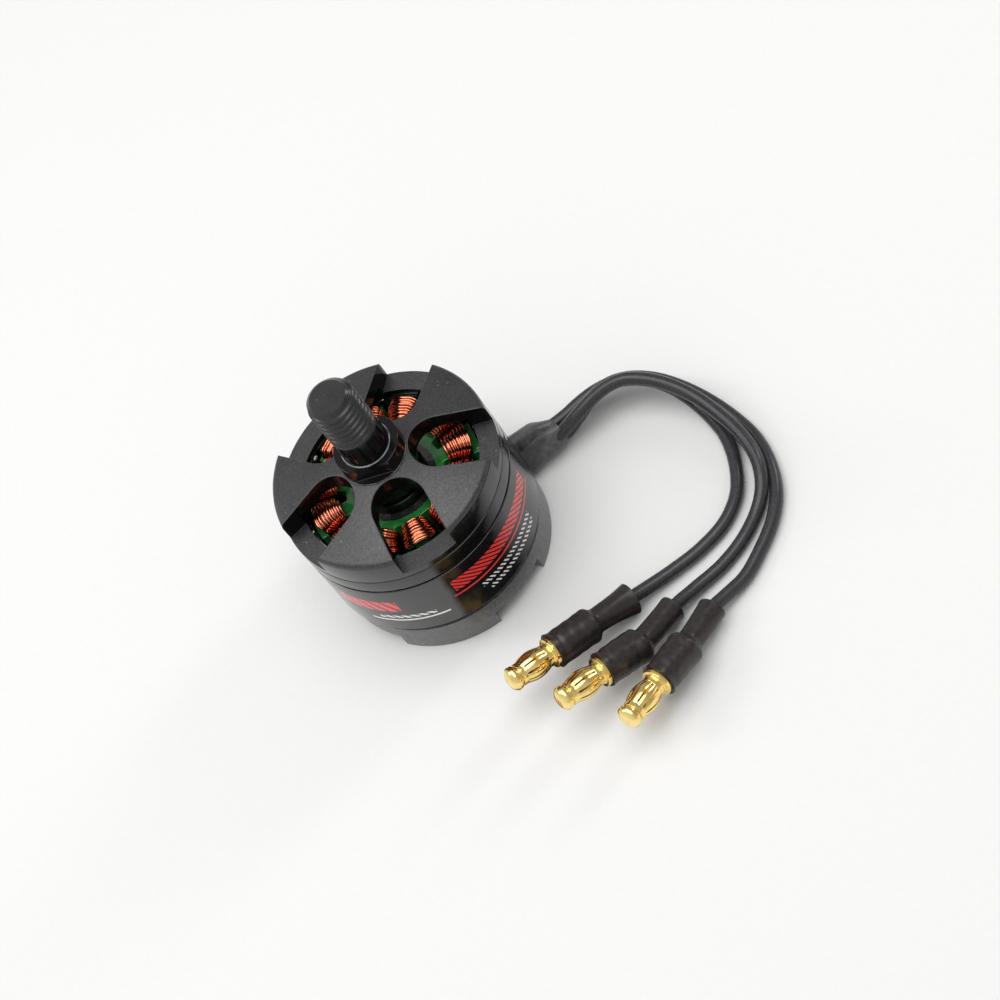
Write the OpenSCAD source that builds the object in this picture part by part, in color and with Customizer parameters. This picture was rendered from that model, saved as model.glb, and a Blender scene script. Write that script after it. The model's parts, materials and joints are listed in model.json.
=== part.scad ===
// Brushless outrunner motor, 28 mm class, with its phase leads and bullet plugs.
// Origin: centre of the mounting face. +Z runs up the shaft to the propeller thread,
// +X points out through the notch where the leads leave. Sizes are millimetres.

/* [Rotor] */
// Outer diameter of the bell
bell_d = 27.9; // [27.6:0.1:28.4]
// Height of the flux ring's lower edge above the mounting face
ring_bottom = 5.7; // [5.5:0.1:6]
// Height of the groove where the flux ring meets the bell cap
seam_z = 15.7; // [15.4:0.1:16]
// Height of the bell cap's top at its hub
cap_top = 24.1; // [23.8:0.1:24.6]
// Number of cooling slots in the bell cap
slot_count = 5; // [4:1:5]
// Radius of a cooling slot's round inner end
slot_r = 3.4; // [3:0.1:3.4]
// Number of rotor magnets
magnet_count = 14; // [14:2:16]

/* [Shaft and propeller thread] */
// Overall height of the motor
motor_h = 37.8; // [37:0.1:39]
// Major diameter of the propeller thread
thread_d = 6; // [5:0.5:6]
// Diameter of the steel shaft
shaft_d = 3; // [3:0.01:3.02]
// Distance of each wrench flat from the axis
flat_dist = 3.25; // [3.2:0.05:3.6]

/* [Stator] */
// Outer diameter of the lamination stack
stator_d = 22; // [21.8:0.1:22.1]
// Height of the lamination stack
stack_h = 13; // [12:0.5:13]
// Number of stator teeth
tooth_count = 12; // [12:1:12]
// Width of a tooth's neck
tooth_w = 2; // [1.6:0.1:2.2]

/* [Mount base] */
// Outer diameter of the mount base
base_d = 27; // [26.4:0.1:27.4]
// Height of the mount base's ring
base_h = 5; // [4.6:0.1:5]
// Angle that one notch between the feet takes
notch_angle = 36; // [24:2:40]
// Smaller bolt circle
bolt_circle_small = 16; // [15.8:0.1:16.2]
// Larger bolt circle
bolt_circle_large = 19; // [18.8:0.1:19.2]
// Diameter of a mounting hole
bolt_d = 3; // [2.5:0.1:3.1]

/* [Leads and plugs] */
// Outer diameter of a lead
lead_d = 1.7; // [1.6:0.1:1.8]
// Largest diameter of a plug's spring cage
spring_d = 3.6; // [3.4:0.1:3.8]
// Diameter of the heat-shrink sleeve over a plug's solder cup
plug_sleeve_d = 4.8; // [4.6:0.1:5]

/* [Hidden] */

$fn = 96;
fit = 0.01;            // gap of a pressed or glued joint
over = 1;              // how far a cutter runs past what it cuts

bell_r = bell_d / 2;
slot_first = -44.2;    // direction of the first cooling slot
slot_centre_r = 7.75;  // where a slot's round end is centred
slot_floor = 19.2;     // top of the rim below the slots
cap_edge_z = 22.1;     // cap's height at its rounded outer edge
cap_rim_r = 11.45;     // inner radius of the rim that closes the slots
hub_bottom = 19.5;
hub_r = 4.2;

ring_wall = 1.4;       // flux ring
ring_lip = 0.4;        // thin part of the ring that slides up into the cap
ring_top = 18.04;
magnet_t = 1.3;
magnet_angle = 22;
magnet_z = [5.9, 17.9];

shaft_r = shaft_d / 2;
shaft_z = [0.3, 29.5];
thread_z = 30.6;       // where the thread starts above the plain neck
boss_top = 26.55;
adapter_spigot_r = 3.4;  // inside the cap's hub
neck_r = 3.0;            // plain neck between boss and thread

stack_z = base_h - 0.6;
tooth_first = 2.5;
core_ring_r = 6.3;
shoe_r = 10.1;
shoe_angle = 24.4;
coil_r = [6.7, 9.78];    // inner and outer radius of a coil
coil_half = [1.64, 2.45];
coil_z = [2.6, 19.2];
coil_corner = 1.1;

tube_r = 4.45;         // bearing tube
tube_top = 19;
bearing_w = 3;
bearing_r = 3.5;
bearing_low = 1.5;
bearing_high = 15.8;
ball_r = 0.6;
ball_pitch = 2.5;
ball_count = 7;
race_gap = 0.02;       // clearance round a ball
land_in = 2.15;        // inner race's shoulder
land_out = 2.85;       // outer race's shoulder
arm_w = 7;
arm_h = 2.2;
foot_h = 2.5;

// Routes, from inside the lead notch to the solder cup of each plug.
lead_r = lead_d / 2;
lead_routes = [
    [[12.5, 1.4, 1.3], [15.8, 0.2, 1.5], [18.7, -1.7, 1.6], [21.2, -2.6, 1.6], [23.7, -3.2, 1.7],
     [26.0, -4.1, 1.9], [28.1, -5.5, 2.0], [29.7, -7.4, 1.9], [30.8, -9.8, 1.7], [31.3, -12.6, 1.4],
     [31.2, -15.8, 1.0], [30.5, -19.4, 0.9], [29.4, -22.5, 0.9], [27.2, -25.7, 0.9], [24.0, -28.5, 0.9],
     [20.1, -29.7, 0.9], [15.8, -29.3, 0.9], [11.8, -28.2, 1.1], [8.6, -27.2, 1.5], [6.1, -26.5, 2.0],
     [3.0, -26.0, 2.9]],
    [[12.5, -2.4, 1.3], [15.6, -3.5, 2.1], [18.9, -4.8, 3.1], [21.6, -5.6, 4.0], [24.0, -6.3, 4.7],
     [26.1, -7.2, 5.2], [28.0, -8.7, 5.5], [29.4, -11.0, 5.4], [30.4, -13.8, 4.9], [31.0, -17.2, 3.9],
     [30.8, -21.1, 3.2], [30.1, -25.0, 2.7], [28.7, -28.4, 2.3], [26.3, -31.0, 1.8], [23.3, -32.3, 1.0],
     [19.4, -33.1, 0.9], [15.4, -33.0, 0.9], [11.3, -32.2, 1.2], [7.7, -31.8, 1.9], [4.1, -32.2, 2.8]],
    [[12.5, -0.5, 1.3], [15.6, -1.8, 1.2], [19.1, -3.9, 1.2], [21.8, -4.6, 2.0], [24.2, -5.0, 2.9],
     [26.4, -5.8, 3.6], [28.2, -7.3, 4.0], [29.7, -9.4, 4.0], [30.9, -12.1, 3.6], [31.7, -15.3, 2.8],
     [32.1, -18.7, 1.7], [31.9, -22.4, 1.0], [31.1, -26.0, 0.9], [29.2, -29.7, 0.9], [26.5, -32.8, 0.9],
     [23.1, -34.8, 0.9], [19.3, -35.9, 0.9], [15.8, -36.5, 1.0], [12.9, -36.3, 1.4], [10.2, -36.1, 1.9],
     [6.5, -36.8, 2.7]],
];

// Exit sleeve: centre, half width and half height of each section, and its heading.
sleeve_sections = [
    [[12.3, -0.4, 1.3], 3.3, 1.0, -8],
    [[13.6, -0.7, 1.4], 3.4, 1.15, -10],
    [[15.2, -1.5, 1.8], 3.1, 1.5, -18],
    [[16.8, -2.3, 2.1], 2.8, 1.8, -22],
    [[18.2, -3.2, 2.3], 2.35, 1.9, -20],
    [[19.4, -3.7, 2.4], 1.9, 1.8, -14],
];

// Plugs: tip of the bullet, heading of its axis, and how far the axis drops towards the lead.
plug_places = [[[-11.2, -23.6, 7.4], -9, 17], [[-9.9, -30.6, 7.4], -8, 18], [[-7.4, -38.6, 6.2], 7, 14]];
cap_r = 1.48;
spring_x = [2, 5.4];
flange_x = [6.1, 6.6];
flange_r = 1.95;
cup_end = 12.6;
sleeve_len = 6.1;      // fat part of a plug's heat-shrink sleeve
sleeve_end_r = [2, 1.75, 1.7];

phase_teeth = [[11, 0, 5, 6], [1, 2, 7, 8], [3, 4, 9, 10]];
tail_turns = [[2.5, 2.5], [32.5, 11], [-57.5, -13]];
lead_of_phase = [2, 0, 1];
tail_r = 10.4;
tail_z = 2.9;
tail_wire_r = 0.35;

// ---- shapes that repeat ----

module tube(r_out, r_in, z0, z1) {
    translate([0, 0, z0])
        difference() {
            cylinder(r = r_out, h = z1 - z0);
            translate([0, 0, -over]) cylinder(r = r_in, h = z1 - z0 + 2 * over);
        }
}

// A flat wedge from the axis outwards, centred on +X.
module wedge(angle, reach) {
    polygon([[0, 0], [reach, -reach * tan(angle / 2)], [reach, reach * tan(angle / 2)]]);
}

// ---- sweeps for the leads and the sleeves ----

function unit(v) = v / norm(v);
function heading(p, i) = unit(p[min(i + 1, len(p) - 1)] - p[max(i - 1, 0)]);
function side_of(t) = unit([-t[1], t[0], 0]);

// One ring of points: half width a along the side, half height b across it.
function ring(c, t, a, b, sides) =
    let (s = side_of(t), u = cross(t, s))
    [for (k = [0 : sides - 1]) c + a * cos(360 * k / sides) * s + b * sin(360 * k / sides) * u];

function flat(lists) = [for (l = lists) for (p = l) p];

// Closes a row of rings into one solid.
module skin(rings) {
    n = len(rings);
    m = len(rings[0]);
    walls = [for (i = [0 : n - 2]) for (k = [0 : m - 1])
        [i * m + k, (i + 1) * m + k, (i + 1) * m + (k + 1) % m, i * m + (k + 1) % m]];
    ends = [[for (k = [0 : m - 1]) k], [for (k = [m - 1 : -1 : 0]) (n - 1) * m + k]];
    polyhedron(points = flat(rings), faces = concat(walls, ends), convexity = 6);
}

module lead(i) {
    route = lead_routes[i];
    color("#1c1c1e")
        skin([for (k = [0 : len(route) - 1]) ring(route[k], heading(route, k), lead_r, lead_r, 8)]);
}

// ---- rotor ----

module cap_profile() {
    groove = 0.14;
    seam_a = 18.06;
    polygon([
        [adapter_spigot_r + fit, hub_bottom], [hub_r, hub_bottom], [hub_r, cap_top - 2.7],
        [cap_rim_r, cap_edge_z - 1.4], [cap_rim_r, ring_top + fit],
        [bell_r - ring_wall + ring_lip + fit, ring_top + fit],
        [bell_r - ring_wall + ring_lip + fit, seam_z + 0.12],
        [bell_r - groove, seam_z + 0.12], [bell_r, seam_z + 0.26],
        [bell_r, seam_a + 0.1], [bell_r - groove, seam_a + 0.16],
        [bell_r - groove, seam_a + 0.24], [bell_r, seam_a + 0.3],
        [bell_r, cap_edge_z - 0.4], [bell_r - 0.07, cap_edge_z - 0.18], [bell_r - 0.25, cap_edge_z],
        [hub_r, cap_top], [adapter_spigot_r + fit, cap_top],
    ]);
}

// A cooling slot, round at the hub and a little wider where it leaves the side.
module slot_cutter() {
    reach = bell_r + over;
    translate([0, 0, slot_floor])
        linear_extrude(height = 10)
            union() {
                translate([slot_centre_r, 0]) circle(r = slot_r);
                polygon([
                    [slot_centre_r, -slot_r], [reach, -slot_r - 0.22],
                    [reach, slot_r + 0.22], [slot_centre_r, slot_r],
                ]);
            }
}

module bell_cap() {
    color("#26272a")
        difference() {
            rotate_extrude() cap_profile();
            for (i = [0 : slot_count - 1])
                rotate([0, 0, slot_first + i * 360 / slot_count]) slot_cutter();
        }
}

module flux_ring() {
    inner = bell_r - ring_wall;
    color("#202124")
        rotate_extrude()
            polygon([
                [inner, ring_bottom], [bell_r - 0.1, ring_bottom], [bell_r, ring_bottom + 0.1],
                [bell_r, seam_z - 0.22], [bell_r - 0.14, seam_z - 0.08],
                [inner + ring_lip, seam_z - 0.08], [inner + ring_lip, ring_top], [inner, ring_top],
            ]);
}

module rotor_magnets() {
    outer = bell_r - ring_wall - fit;
    color("#b9bcc0")
        for (i = [0 : magnet_count - 1])
            rotate([0, 0, i * 360 / magnet_count])
                rotate_extrude(angle = magnet_angle)
                    translate([outer - magnet_t, magnet_z[0]])
                        square([magnet_t, magnet_z[1] - magnet_z[0]]);
}

// Thread, plain neck, boss with two wrench flats, and the spigot inside the cap's hub.
module prop_adapter() {
    thread_r = thread_d / 2;
    flat_turn = 47;
    nose_r = 2.1;
    nose_bottom = bearing_high + bearing_w + 0.2;
    color("#17181a")
        difference() {
            rotate_extrude()
                polygon([
                    [shaft_r + fit, nose_bottom], [nose_r, nose_bottom], [nose_r, hub_bottom],
                    [adapter_spigot_r, hub_bottom], [adapter_spigot_r, cap_top],
                    [hub_r, cap_top], [hub_r - 0.15, boss_top - 0.15], [hub_r - 0.3, boss_top],
                    [neck_r, boss_top], [neck_r, thread_z], [thread_r, thread_z],
                    [thread_r, motor_h - 0.75], [thread_r - 0.8, motor_h], [0, motor_h],
                    [0, shaft_z[1] + 0.1], [shaft_r + fit, shaft_z[1] + 0.1],
                ]);
            for (turn = [0, 180])
                rotate([0, 0, flat_turn + turn])
                    translate([flat_dist, -6, cap_top + 0.3]) cube([5, 12, boss_top - cap_top]);
        }
}

module motor_shaft() {
    clip_groove = [0.74, 1.16];
    groove_r = shaft_r - 0.3;
    color("#c9cbce")
        rotate_extrude()
            polygon([
                [0, shaft_z[0]], [shaft_r - 0.2, shaft_z[0]], [shaft_r, shaft_z[0] + 0.2],
                [shaft_r, clip_groove[0]], [groove_r, clip_groove[0]], [groove_r, clip_groove[1]],
                [shaft_r, clip_groove[1]], [shaft_r, shaft_z[1] - 0.2], [shaft_r - 0.2, shaft_z[1]],
                [0, shaft_z[1]],
            ]);
}

module shaft_circlip() {
    color("#8d9094")
        translate([0, 0, 0.75])
            linear_extrude(height = 0.4)
                difference() {
                    circle(r = 2.6);
                    circle(r = shaft_r - 0.3 + fit);
                    rotate(200) wedge(60, 4);
                }
}

module lower_shim_washer() {
    color("#9a9da1") tube(2.1, shaft_r + fit, 1.16, bearing_low);
}

module upper_shim_washer() {
    top = bearing_high + bearing_w;
    color("#9a9da1") tube(2.1, shaft_r + fit, top, top + 0.2);
}

// ---- bearings ----

module inner_race(z) {
    color("#d0d2d4")
        translate([0, 0, z])
            rotate_extrude()
                difference() {
                    translate([shaft_r + fit, 0]) square([land_in - shaft_r - fit, bearing_w]);
                    translate([ball_pitch, bearing_w / 2]) circle(r = ball_r + race_gap, $fn = 48);
                }
}

module outer_race(z) {
    color("#d0d2d4")
        translate([0, 0, z])
            rotate_extrude()
                difference() {
                    translate([land_out, 0]) square([bearing_r - fit - land_out, bearing_w]);
                    translate([ball_pitch, bearing_w / 2]) circle(r = ball_r + race_gap, $fn = 48);
                }
}

module on_ball_pitch(z) {
    for (i = [0 : ball_count - 1])
        rotate([0, 0, i * 360 / ball_count])
            translate([ball_pitch, 0, z + bearing_w / 2]) children();
}

module balls(z) {
    color("#e2e3e5") on_ball_pitch(z) sphere(r = ball_r, $fn = 32);
}

module ball_cage(z) {
    half = 0.85;
    mid = z + bearing_w / 2;
    color("#b08d45")
        difference() {
            tube(ball_pitch + 0.2, ball_pitch - 0.2, mid - half, mid + half);
            on_ball_pitch(z) sphere(r = ball_r + race_gap, $fn = 32);
        }
}

module shields(z) {
    t = 0.15;
    color("#a7a9ad") {
        tube(land_out - fit, land_in + 0.1, z + 0.1, z + 0.1 + t);
        tube(land_out - fit, land_in + 0.1, z + bearing_w - 0.1 - t, z + bearing_w - 0.1);
    }
}

module lower_bearing_inner_race() { inner_race(bearing_low); }
module upper_bearing_inner_race() { inner_race(bearing_high); }
module lower_bearing_outer_race() { outer_race(bearing_low); }
module upper_bearing_outer_race() { outer_race(bearing_high); }
module lower_bearing_balls() { balls(bearing_low); }
module upper_bearing_balls() { balls(bearing_high); }
module lower_ball_cage() { ball_cage(bearing_low); }
module upper_ball_cage() { ball_cage(bearing_high); }
module lower_bearing_shields() { shields(bearing_low); }
module upper_bearing_shields() { shields(bearing_high); }

// ---- mount base ----

module foot() {
    r = base_d / 2;
    linear_extrude(height = foot_h)
        intersection() {
            difference() {
                circle(r = r);
                circle(r = 10.6);
            }
            wedge(90 - notch_angle, r * 1.5);
        }
}

module base_solids() {
    r = base_d / 2;
    rotate_extrude()
        polygon([[r - 2, foot_h], [r, foot_h], [r, base_h - 0.3], [r - 0.3, base_h], [r - 2, base_h]]);
    for (turn = [45 : 90 : 315])
        rotate([0, 0, turn]) {
            foot();
            translate([2, -arm_w / 2, 0]) cube([9.6, arm_w, arm_h]);
        }
    cylinder(r = 5.4, h = stack_z);
    cylinder(r = tube_r, h = tube_top);
}

module mount_base() {
    color("#232427")
        difference() {
            base_solids();
            translate([0, 0, -over]) cylinder(r = 3, h = tube_top + 2 * over);
            translate([0, 0, -over]) cylinder(r = bearing_r, h = bearing_low + bearing_w + over);
            translate([0, 0, bearing_high]) cylinder(r = bearing_r, h = bearing_w + over);
            for (turn = [45, 225])
                rotate([0, 0, turn])
                    translate([bolt_circle_small / 2, 0, -over]) cylinder(d = bolt_d, h = 5);
            for (turn = [135, 315])
                rotate([0, 0, turn])
                    translate([bolt_circle_large / 2, 0, -over]) cylinder(d = bolt_d, h = 5);
        }
}

// ---- stator ----

module stator_core() {
    r = stator_d / 2;
    color("#2e8b46")
        translate([0, 0, stack_z])
            linear_extrude(height = stack_h)
                difference() {
                    union() {
                        circle(r = core_ring_r);
                        for (i = [0 : tooth_count - 1])
                            rotate(tooth_first + i * 360 / tooth_count) {
                                translate([core_ring_r - 0.5, -tooth_w / 2])
                                    square([shoe_r - core_ring_r + 1, tooth_w]);
                                intersection() {
                                    difference() {
                                        circle(r = r);
                                        circle(r = shoe_r);
                                    }
                                    wedge(shoe_angle, r * 1.2);
                                }
                            }
                    }
                    circle(r = tube_r + fit);
                }
}

// Rounded outline of the end turns, seen along the tooth.
module end_turn_outline() {
    half = coil_half[1] - coil_corner;
    for (z = [coil_z[0] + coil_corner, coil_z[1] - coil_corner])
        for (y = [-half, half])
            translate([y, z]) circle(r = coil_corner, $fn = 48);
    translate([-half, coil_z[0]]) square([2 * half, coil_z[1] - coil_z[0]]);
    translate([-half - coil_corner, coil_z[0] + coil_corner])
        square([2 * (half + coil_corner), coil_z[1] - coil_z[0] - 2 * coil_corner]);
}

// One coil, wound round the neck of the tooth that points along +X.
module coil() {
    difference() {
        intersection() {
            translate([0, 0, coil_z[0] - over])
                linear_extrude(height = coil_z[1] - coil_z[0] + 2 * over)
                    polygon([
                        [coil_r[0], -coil_half[0]], [coil_r[1], -coil_half[1]],
                        [coil_r[1], coil_half[1]], [coil_r[0], coil_half[0]],
                    ]);
            translate([coil_r[0] - over, 0, 0])
                rotate([90, 0, 90])
                    linear_extrude(height = coil_r[1] - coil_r[0] + 2 * over) end_turn_outline();
        }
        translate([coil_r[0] - over, -tooth_w / 2 - fit, stack_z - fit])
            cube([coil_r[1] - coil_r[0] + 2 * over, tooth_w + 2 * fit, stack_h + 2 * fit]);
    }
}

// The phase's end, led round under the stack to its lead.
module tail(phase) {
    from = tail_turns[phase][0];
    to = tail_turns[phase][1];
    steps = round(abs(to - from) / 11);
    function at(r, turn) = [r * cos(turn), r * sin(turn), tail_z];
    route = concat(
        [at(coil_r[1] - 0.4, from)],
        [for (k = [0 : steps]) at(tail_r, from + (to - from) * k / max(steps, 1))],
        [lead_routes[lead_of_phase[phase]][0]]
    );
    skin([for (k = [0 : len(route) - 1]) ring(route[k], heading(route, k), tail_wire_r, tail_wire_r, 8)]);
}

module winding(phase) {
    color("#d2622a") {
        for (i = phase_teeth[phase])
            rotate([0, 0, tooth_first + i * 360 / tooth_count]) coil();
        tail(phase);
    }
}

module winding_phase_a() { winding(0); }
module winding_phase_b() { winding(1); }
module winding_phase_c() { winding(2); }

// ---- leads and plugs ----

module lead_exit_sleeve() {
    color("#3a3b3d")
        skin([for (s = sleeve_sections)
            ring(s[0], [cos(s[3]), sin(s[3]), 0], s[1], s[2], 16)]);
}

module lead_a() { lead(0); }
module lead_b() { lead(1); }
module lead_c() { lead(2); }

module at_plug(i) {
    translate(plug_places[i][0]) rotate([0, plug_places[i][2], plug_places[i][1]]) children();
}

// Turns a profile drawn as [distance from the tip, radius] about the plug's axis.
module turned(i, points) {
    at_plug(i)
        rotate([0, 90, 0])
            rotate_extrude($fn = 48) polygon([for (p = points) [p[1], p[0]]]);
}

module bullet_pin(i) {
    rod_r = 0.9;
    collar_r = 1.4;
    color("#e0b23c")
        turned(i, [
            [0, 0], [0, 0.7], [0.12, 1.1], [0.4, 1.38], [0.75, cap_r], [1.2, cap_r], [1.25, 1.2],
            [1.5, 1.2], [1.55, collar_r], [spring_x[0], collar_r], [spring_x[0], rod_r],
            [spring_x[1], rod_r], [spring_x[1], collar_r], [flange_x[0], collar_r],
            [flange_x[0], flange_r], [flange_x[1], flange_r], [flange_x[1], 1.8],
            [cup_end, 1.8], [cup_end, 0],
        ]);
}

// Eight bowed leaves between the bullet's two collars.
module bullet_spring(i) {
    steps = 8;
    leaf_t = 0.22;
    span = spring_x[1] - spring_x[0] - 2 * fit;
    function bow(k) = 1.38 + (spring_d / 2 - 1.38) * sin(180 * k / steps);
    function at_x(k) = spring_x[0] + fit + span * k / steps;
    color("#e6bb4a")
        difference() {
            turned(i, concat(
                [for (k = [0 : steps]) [at_x(k), bow(k)]],
                [for (k = [steps : -1 : 0]) [at_x(k), bow(k) - leaf_t]]
            ));
            at_plug(i)
                for (turn = [0 : 45 : 135])
                    rotate([turn, 0, 0])
                        translate([spring_x[0] + 0.5, -3, -0.16]) cube([span - 1, 6, 0.32]);
        }
}

// Heat-shrink: fat over the solder cup, then drawn down onto the lead it follows.
module bullet_sleeve(i) {
    route = lead_routes[i];
    last = len(route) - 1;
    turn = plug_places[i][1];
    drop = plug_places[i][2];
    axis = [cos(drop) * cos(turn), cos(drop) * sin(turn), -sin(drop)];
    fat = plug_sleeve_d / 2;
    front = flange_x[1] + 0.1;
    function on_axis(x) = plug_places[i][0] + x * axis;
    color("#2a2423")
        skin(concat(
            [for (s = [[front, fat - 0.25], [front + 0.5, fat - 0.05], [front + 2, fat],
                       [front + sleeve_len - 1.2, fat], [front + sleeve_len - 0.3, fat - 0.25]])
                ring(on_axis(s[0]), axis, s[1], s[1], 12)],
            [ring(on_axis(front + sleeve_len + 0.5), axis, 1.75, 1.75, 12),
             ring(route[last - 1], -heading(route, last - 1), sleeve_end_r[i], sleeve_end_r[i], 12)]
        ));
}

module bullet_pin_a() { bullet_pin(0); }
module bullet_pin_b() { bullet_pin(1); }
module bullet_pin_c() { bullet_pin(2); }
module bullet_spring_a() { bullet_spring(0); }
module bullet_spring_b() { bullet_spring(1); }
module bullet_spring_c() { bullet_spring(2); }
module bullet_sleeve_a() { bullet_sleeve(0); }
module bullet_sleeve_b() { bullet_sleeve(1); }
module bullet_sleeve_c() { bullet_sleeve(2); }

bell_cap();
flux_ring();
rotor_magnets();
prop_adapter();
motor_shaft();
shaft_circlip();
lower_shim_washer();
upper_shim_washer();
lower_bearing_inner_race();
upper_bearing_inner_race();
lower_bearing_balls();
upper_bearing_balls();
lower_ball_cage();
upper_ball_cage();
lower_bearing_outer_race();
upper_bearing_outer_race();
lower_bearing_shields();
upper_bearing_shields();
mount_base();
stator_core();
winding_phase_a();
winding_phase_b();
winding_phase_c();
lead_exit_sleeve();
lead_a();
lead_b();
lead_c();
bullet_pin_a();
bullet_pin_b();
bullet_pin_c();
bullet_spring_a();
bullet_spring_b();
bullet_spring_c();
bullet_sleeve_a();
bullet_sleeve_b();
bullet_sleeve_c();
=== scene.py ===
import json
import random
from math import asin, atan2, cos, exp, hypot, pi, radians, sin, sqrt, tau

import bmesh
import bpy
from mathutils import Matrix, Vector


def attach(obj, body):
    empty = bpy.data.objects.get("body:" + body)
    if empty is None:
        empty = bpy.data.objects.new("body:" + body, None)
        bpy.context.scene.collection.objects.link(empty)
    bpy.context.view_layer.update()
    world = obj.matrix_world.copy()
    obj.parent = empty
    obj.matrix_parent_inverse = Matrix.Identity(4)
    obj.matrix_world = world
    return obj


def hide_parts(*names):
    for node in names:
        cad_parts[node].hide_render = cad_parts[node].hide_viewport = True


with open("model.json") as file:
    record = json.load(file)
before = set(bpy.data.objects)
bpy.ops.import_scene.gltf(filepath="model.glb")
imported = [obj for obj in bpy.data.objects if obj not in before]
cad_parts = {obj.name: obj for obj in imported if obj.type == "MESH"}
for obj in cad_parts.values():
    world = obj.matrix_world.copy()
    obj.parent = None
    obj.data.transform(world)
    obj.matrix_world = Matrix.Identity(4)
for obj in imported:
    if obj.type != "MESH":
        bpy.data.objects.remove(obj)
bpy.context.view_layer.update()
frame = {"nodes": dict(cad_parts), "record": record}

# A brushless outrunner motor on a pale floor. Lengths are millimetres unless a name says
# otherwise; finished() turns them into the frame's metres. The motor's axis is Z.

MM = 0.001
NODES = frame["nodes"]


# ---- driving dimensions

BELL_R = 13.95
RING_BOTTOM = 5.7
SEAM_Z = 15.7
CAP_EDGE_Z = 22.1
CAP_TOP = 24.1
SLOT_COUNT = 5
SLOT_FIRST = radians(-44.2)
SLOT_CENTRE_R = 7.75
SLOT_R = 3.4
SLOT_FLARE = 0.22      # how much wider a slot's half gets on its way to the rim
SLOT_FLOOR = 19.2
SLOT_EDGE = 0.13       # fillet of the slot's upper edge
CAP_RIM_R = 11.45
HUB_R = 4.2
HUB_BOTTOM = 19.5
SKIRT_WALL = 1.0
RING_WALL = 1.4
SPIGOT_TOP = 18.05     # the ring's thin upper end reaches up to here inside the skirt
SPIGOT_R = 3.4         # the adapter's foot, pressed into the cap's hub
SEAM_DEPTH = 0.14
GROOVE_Z = 18.12
BELL_SIDES = 288
GAP = 0.01             # clearance between pieces that touch
AXIS_R = 0.02          # a closed outline's nearest approach to the axis it turns about

THREAD_R = 3.0
THREAD_PITCH = 1.0
THREAD_DEPTH = 0.5
THREAD_Z = 30.6
NECK_R = 3.0
BOSS_TOP = 26.55
MOTOR_H = 37.8
FLAT_DISTANCE = 3.25
FLAT_TURN = radians(47)

BASE_R = 13.5
BASE_H = 5.0
FOOT_H = 2.5
FOOT_IN_R = 10.6
NOTCH = radians(36)
TUBE_R = 4.45
TUBE_FOOT_R = 5.4
TUBE_TOP = 19.0
TUBE_BORE_R = 2.98
SEAT_R = 3.5
LOWER_SEAT_TOP = 4.5
UPPER_SEAT_BOTTOM = 15.8
ARM_X = (4.6, 11.6)
ARM_HALF = 3.5
ARM_Z = (0.04, 2.2)
SCREW_R = 1.5
SCREW_CIRCLES = (8.0, 9.5, 8.0, 9.5)

MAGNET_COUNT = 14
MAGNET_FIRST = radians(11)
BEAD_R = 11.37
BEAD_Z = 17.85

TOOTH_COUNT = 12
TOOTH_FIRST = radians(2.5)
TOOTH_HALF = 1.0
CORE_RING_R = 6.3
SHOE_R = (10.1, 11.0)
SHOE_HALF = radians(12.2)
STACK_Z = (4.4, 17.4)
PHASE_TEETH = {"a": (11, 0, 5, 6), "b": (1, 2, 7, 8), "c": (3, 4, 9, 10)}
COIL_R = (6.8, 9.8)
COIL_HALF = (1.64, 2.42)
COIL_Z = (2.4, 19.4)
COIL_LEAN = 1.25       # how far the outermost end turns lean out over the shoe
COIL_ARCH = 1.6
WIRE_R = 0.14

LEAD_D = 1.7

# Each lead, from inside the notch to its solder cup.
LEAD_ROUTES = {
    "a": [
        (12.5, 1.4, 1.3), (15.8, 0.2, 1.5), (18.7, -1.7, 1.6), (21.2, -2.6, 1.6), (23.7, -3.2, 1.7),
        (26.0, -4.1, 1.9), (28.1, -5.5, 2.0), (29.7, -7.4, 1.9), (30.8, -9.8, 1.7), (31.3, -12.6, 1.4),
        (31.2, -15.8, 1.0), (30.5, -19.4, 0.9), (29.4, -22.5, 0.9), (27.2, -25.7, 0.9), (24.0, -28.5, 0.9),
        (20.1, -29.7, 0.9), (15.8, -29.3, 0.9), (11.8, -28.2, 1.1), (8.6, -27.2, 1.5), (6.1, -26.5, 2.0),
        (3.0, -26.0, 2.9),
    ],
    "b": [
        (12.5, -2.4, 1.3), (15.6, -3.5, 2.1), (18.9, -4.8, 3.1), (21.6, -5.6, 4.0), (24.0, -6.3, 4.7),
        (26.1, -7.2, 5.2), (28.0, -8.7, 5.5), (29.4, -11.0, 5.4), (30.4, -13.8, 4.9), (31.0, -17.2, 3.9),
        (30.8, -21.1, 3.2), (30.1, -25.0, 2.7), (28.7, -28.4, 2.3), (26.3, -31.0, 1.8), (23.3, -32.3, 1.0),
        (19.4, -33.1, 0.9), (15.4, -33.0, 0.9), (11.3, -32.2, 1.2), (7.7, -31.8, 1.9), (4.1, -32.2, 2.8),
    ],
    "c": [
        (12.5, -0.5, 1.3), (15.6, -1.8, 1.2), (19.1, -3.9, 1.2), (21.8, -4.6, 2.0), (24.2, -5.0, 2.9),
        (26.4, -5.8, 3.6), (28.2, -7.3, 4.0), (29.7, -9.4, 4.0), (30.9, -12.1, 3.6), (31.7, -15.3, 2.8),
        (32.1, -18.7, 1.7), (31.9, -22.4, 1.0), (31.1, -26.0, 0.9), (29.2, -29.7, 0.9), (26.5, -32.8, 0.9),
        (23.1, -34.8, 0.9), (19.3, -35.9, 0.9), (15.8, -36.5, 1.0), (12.9, -36.3, 1.4), (10.2, -36.1, 1.9),
        (6.5, -36.8, 2.7),
    ],
}

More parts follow.
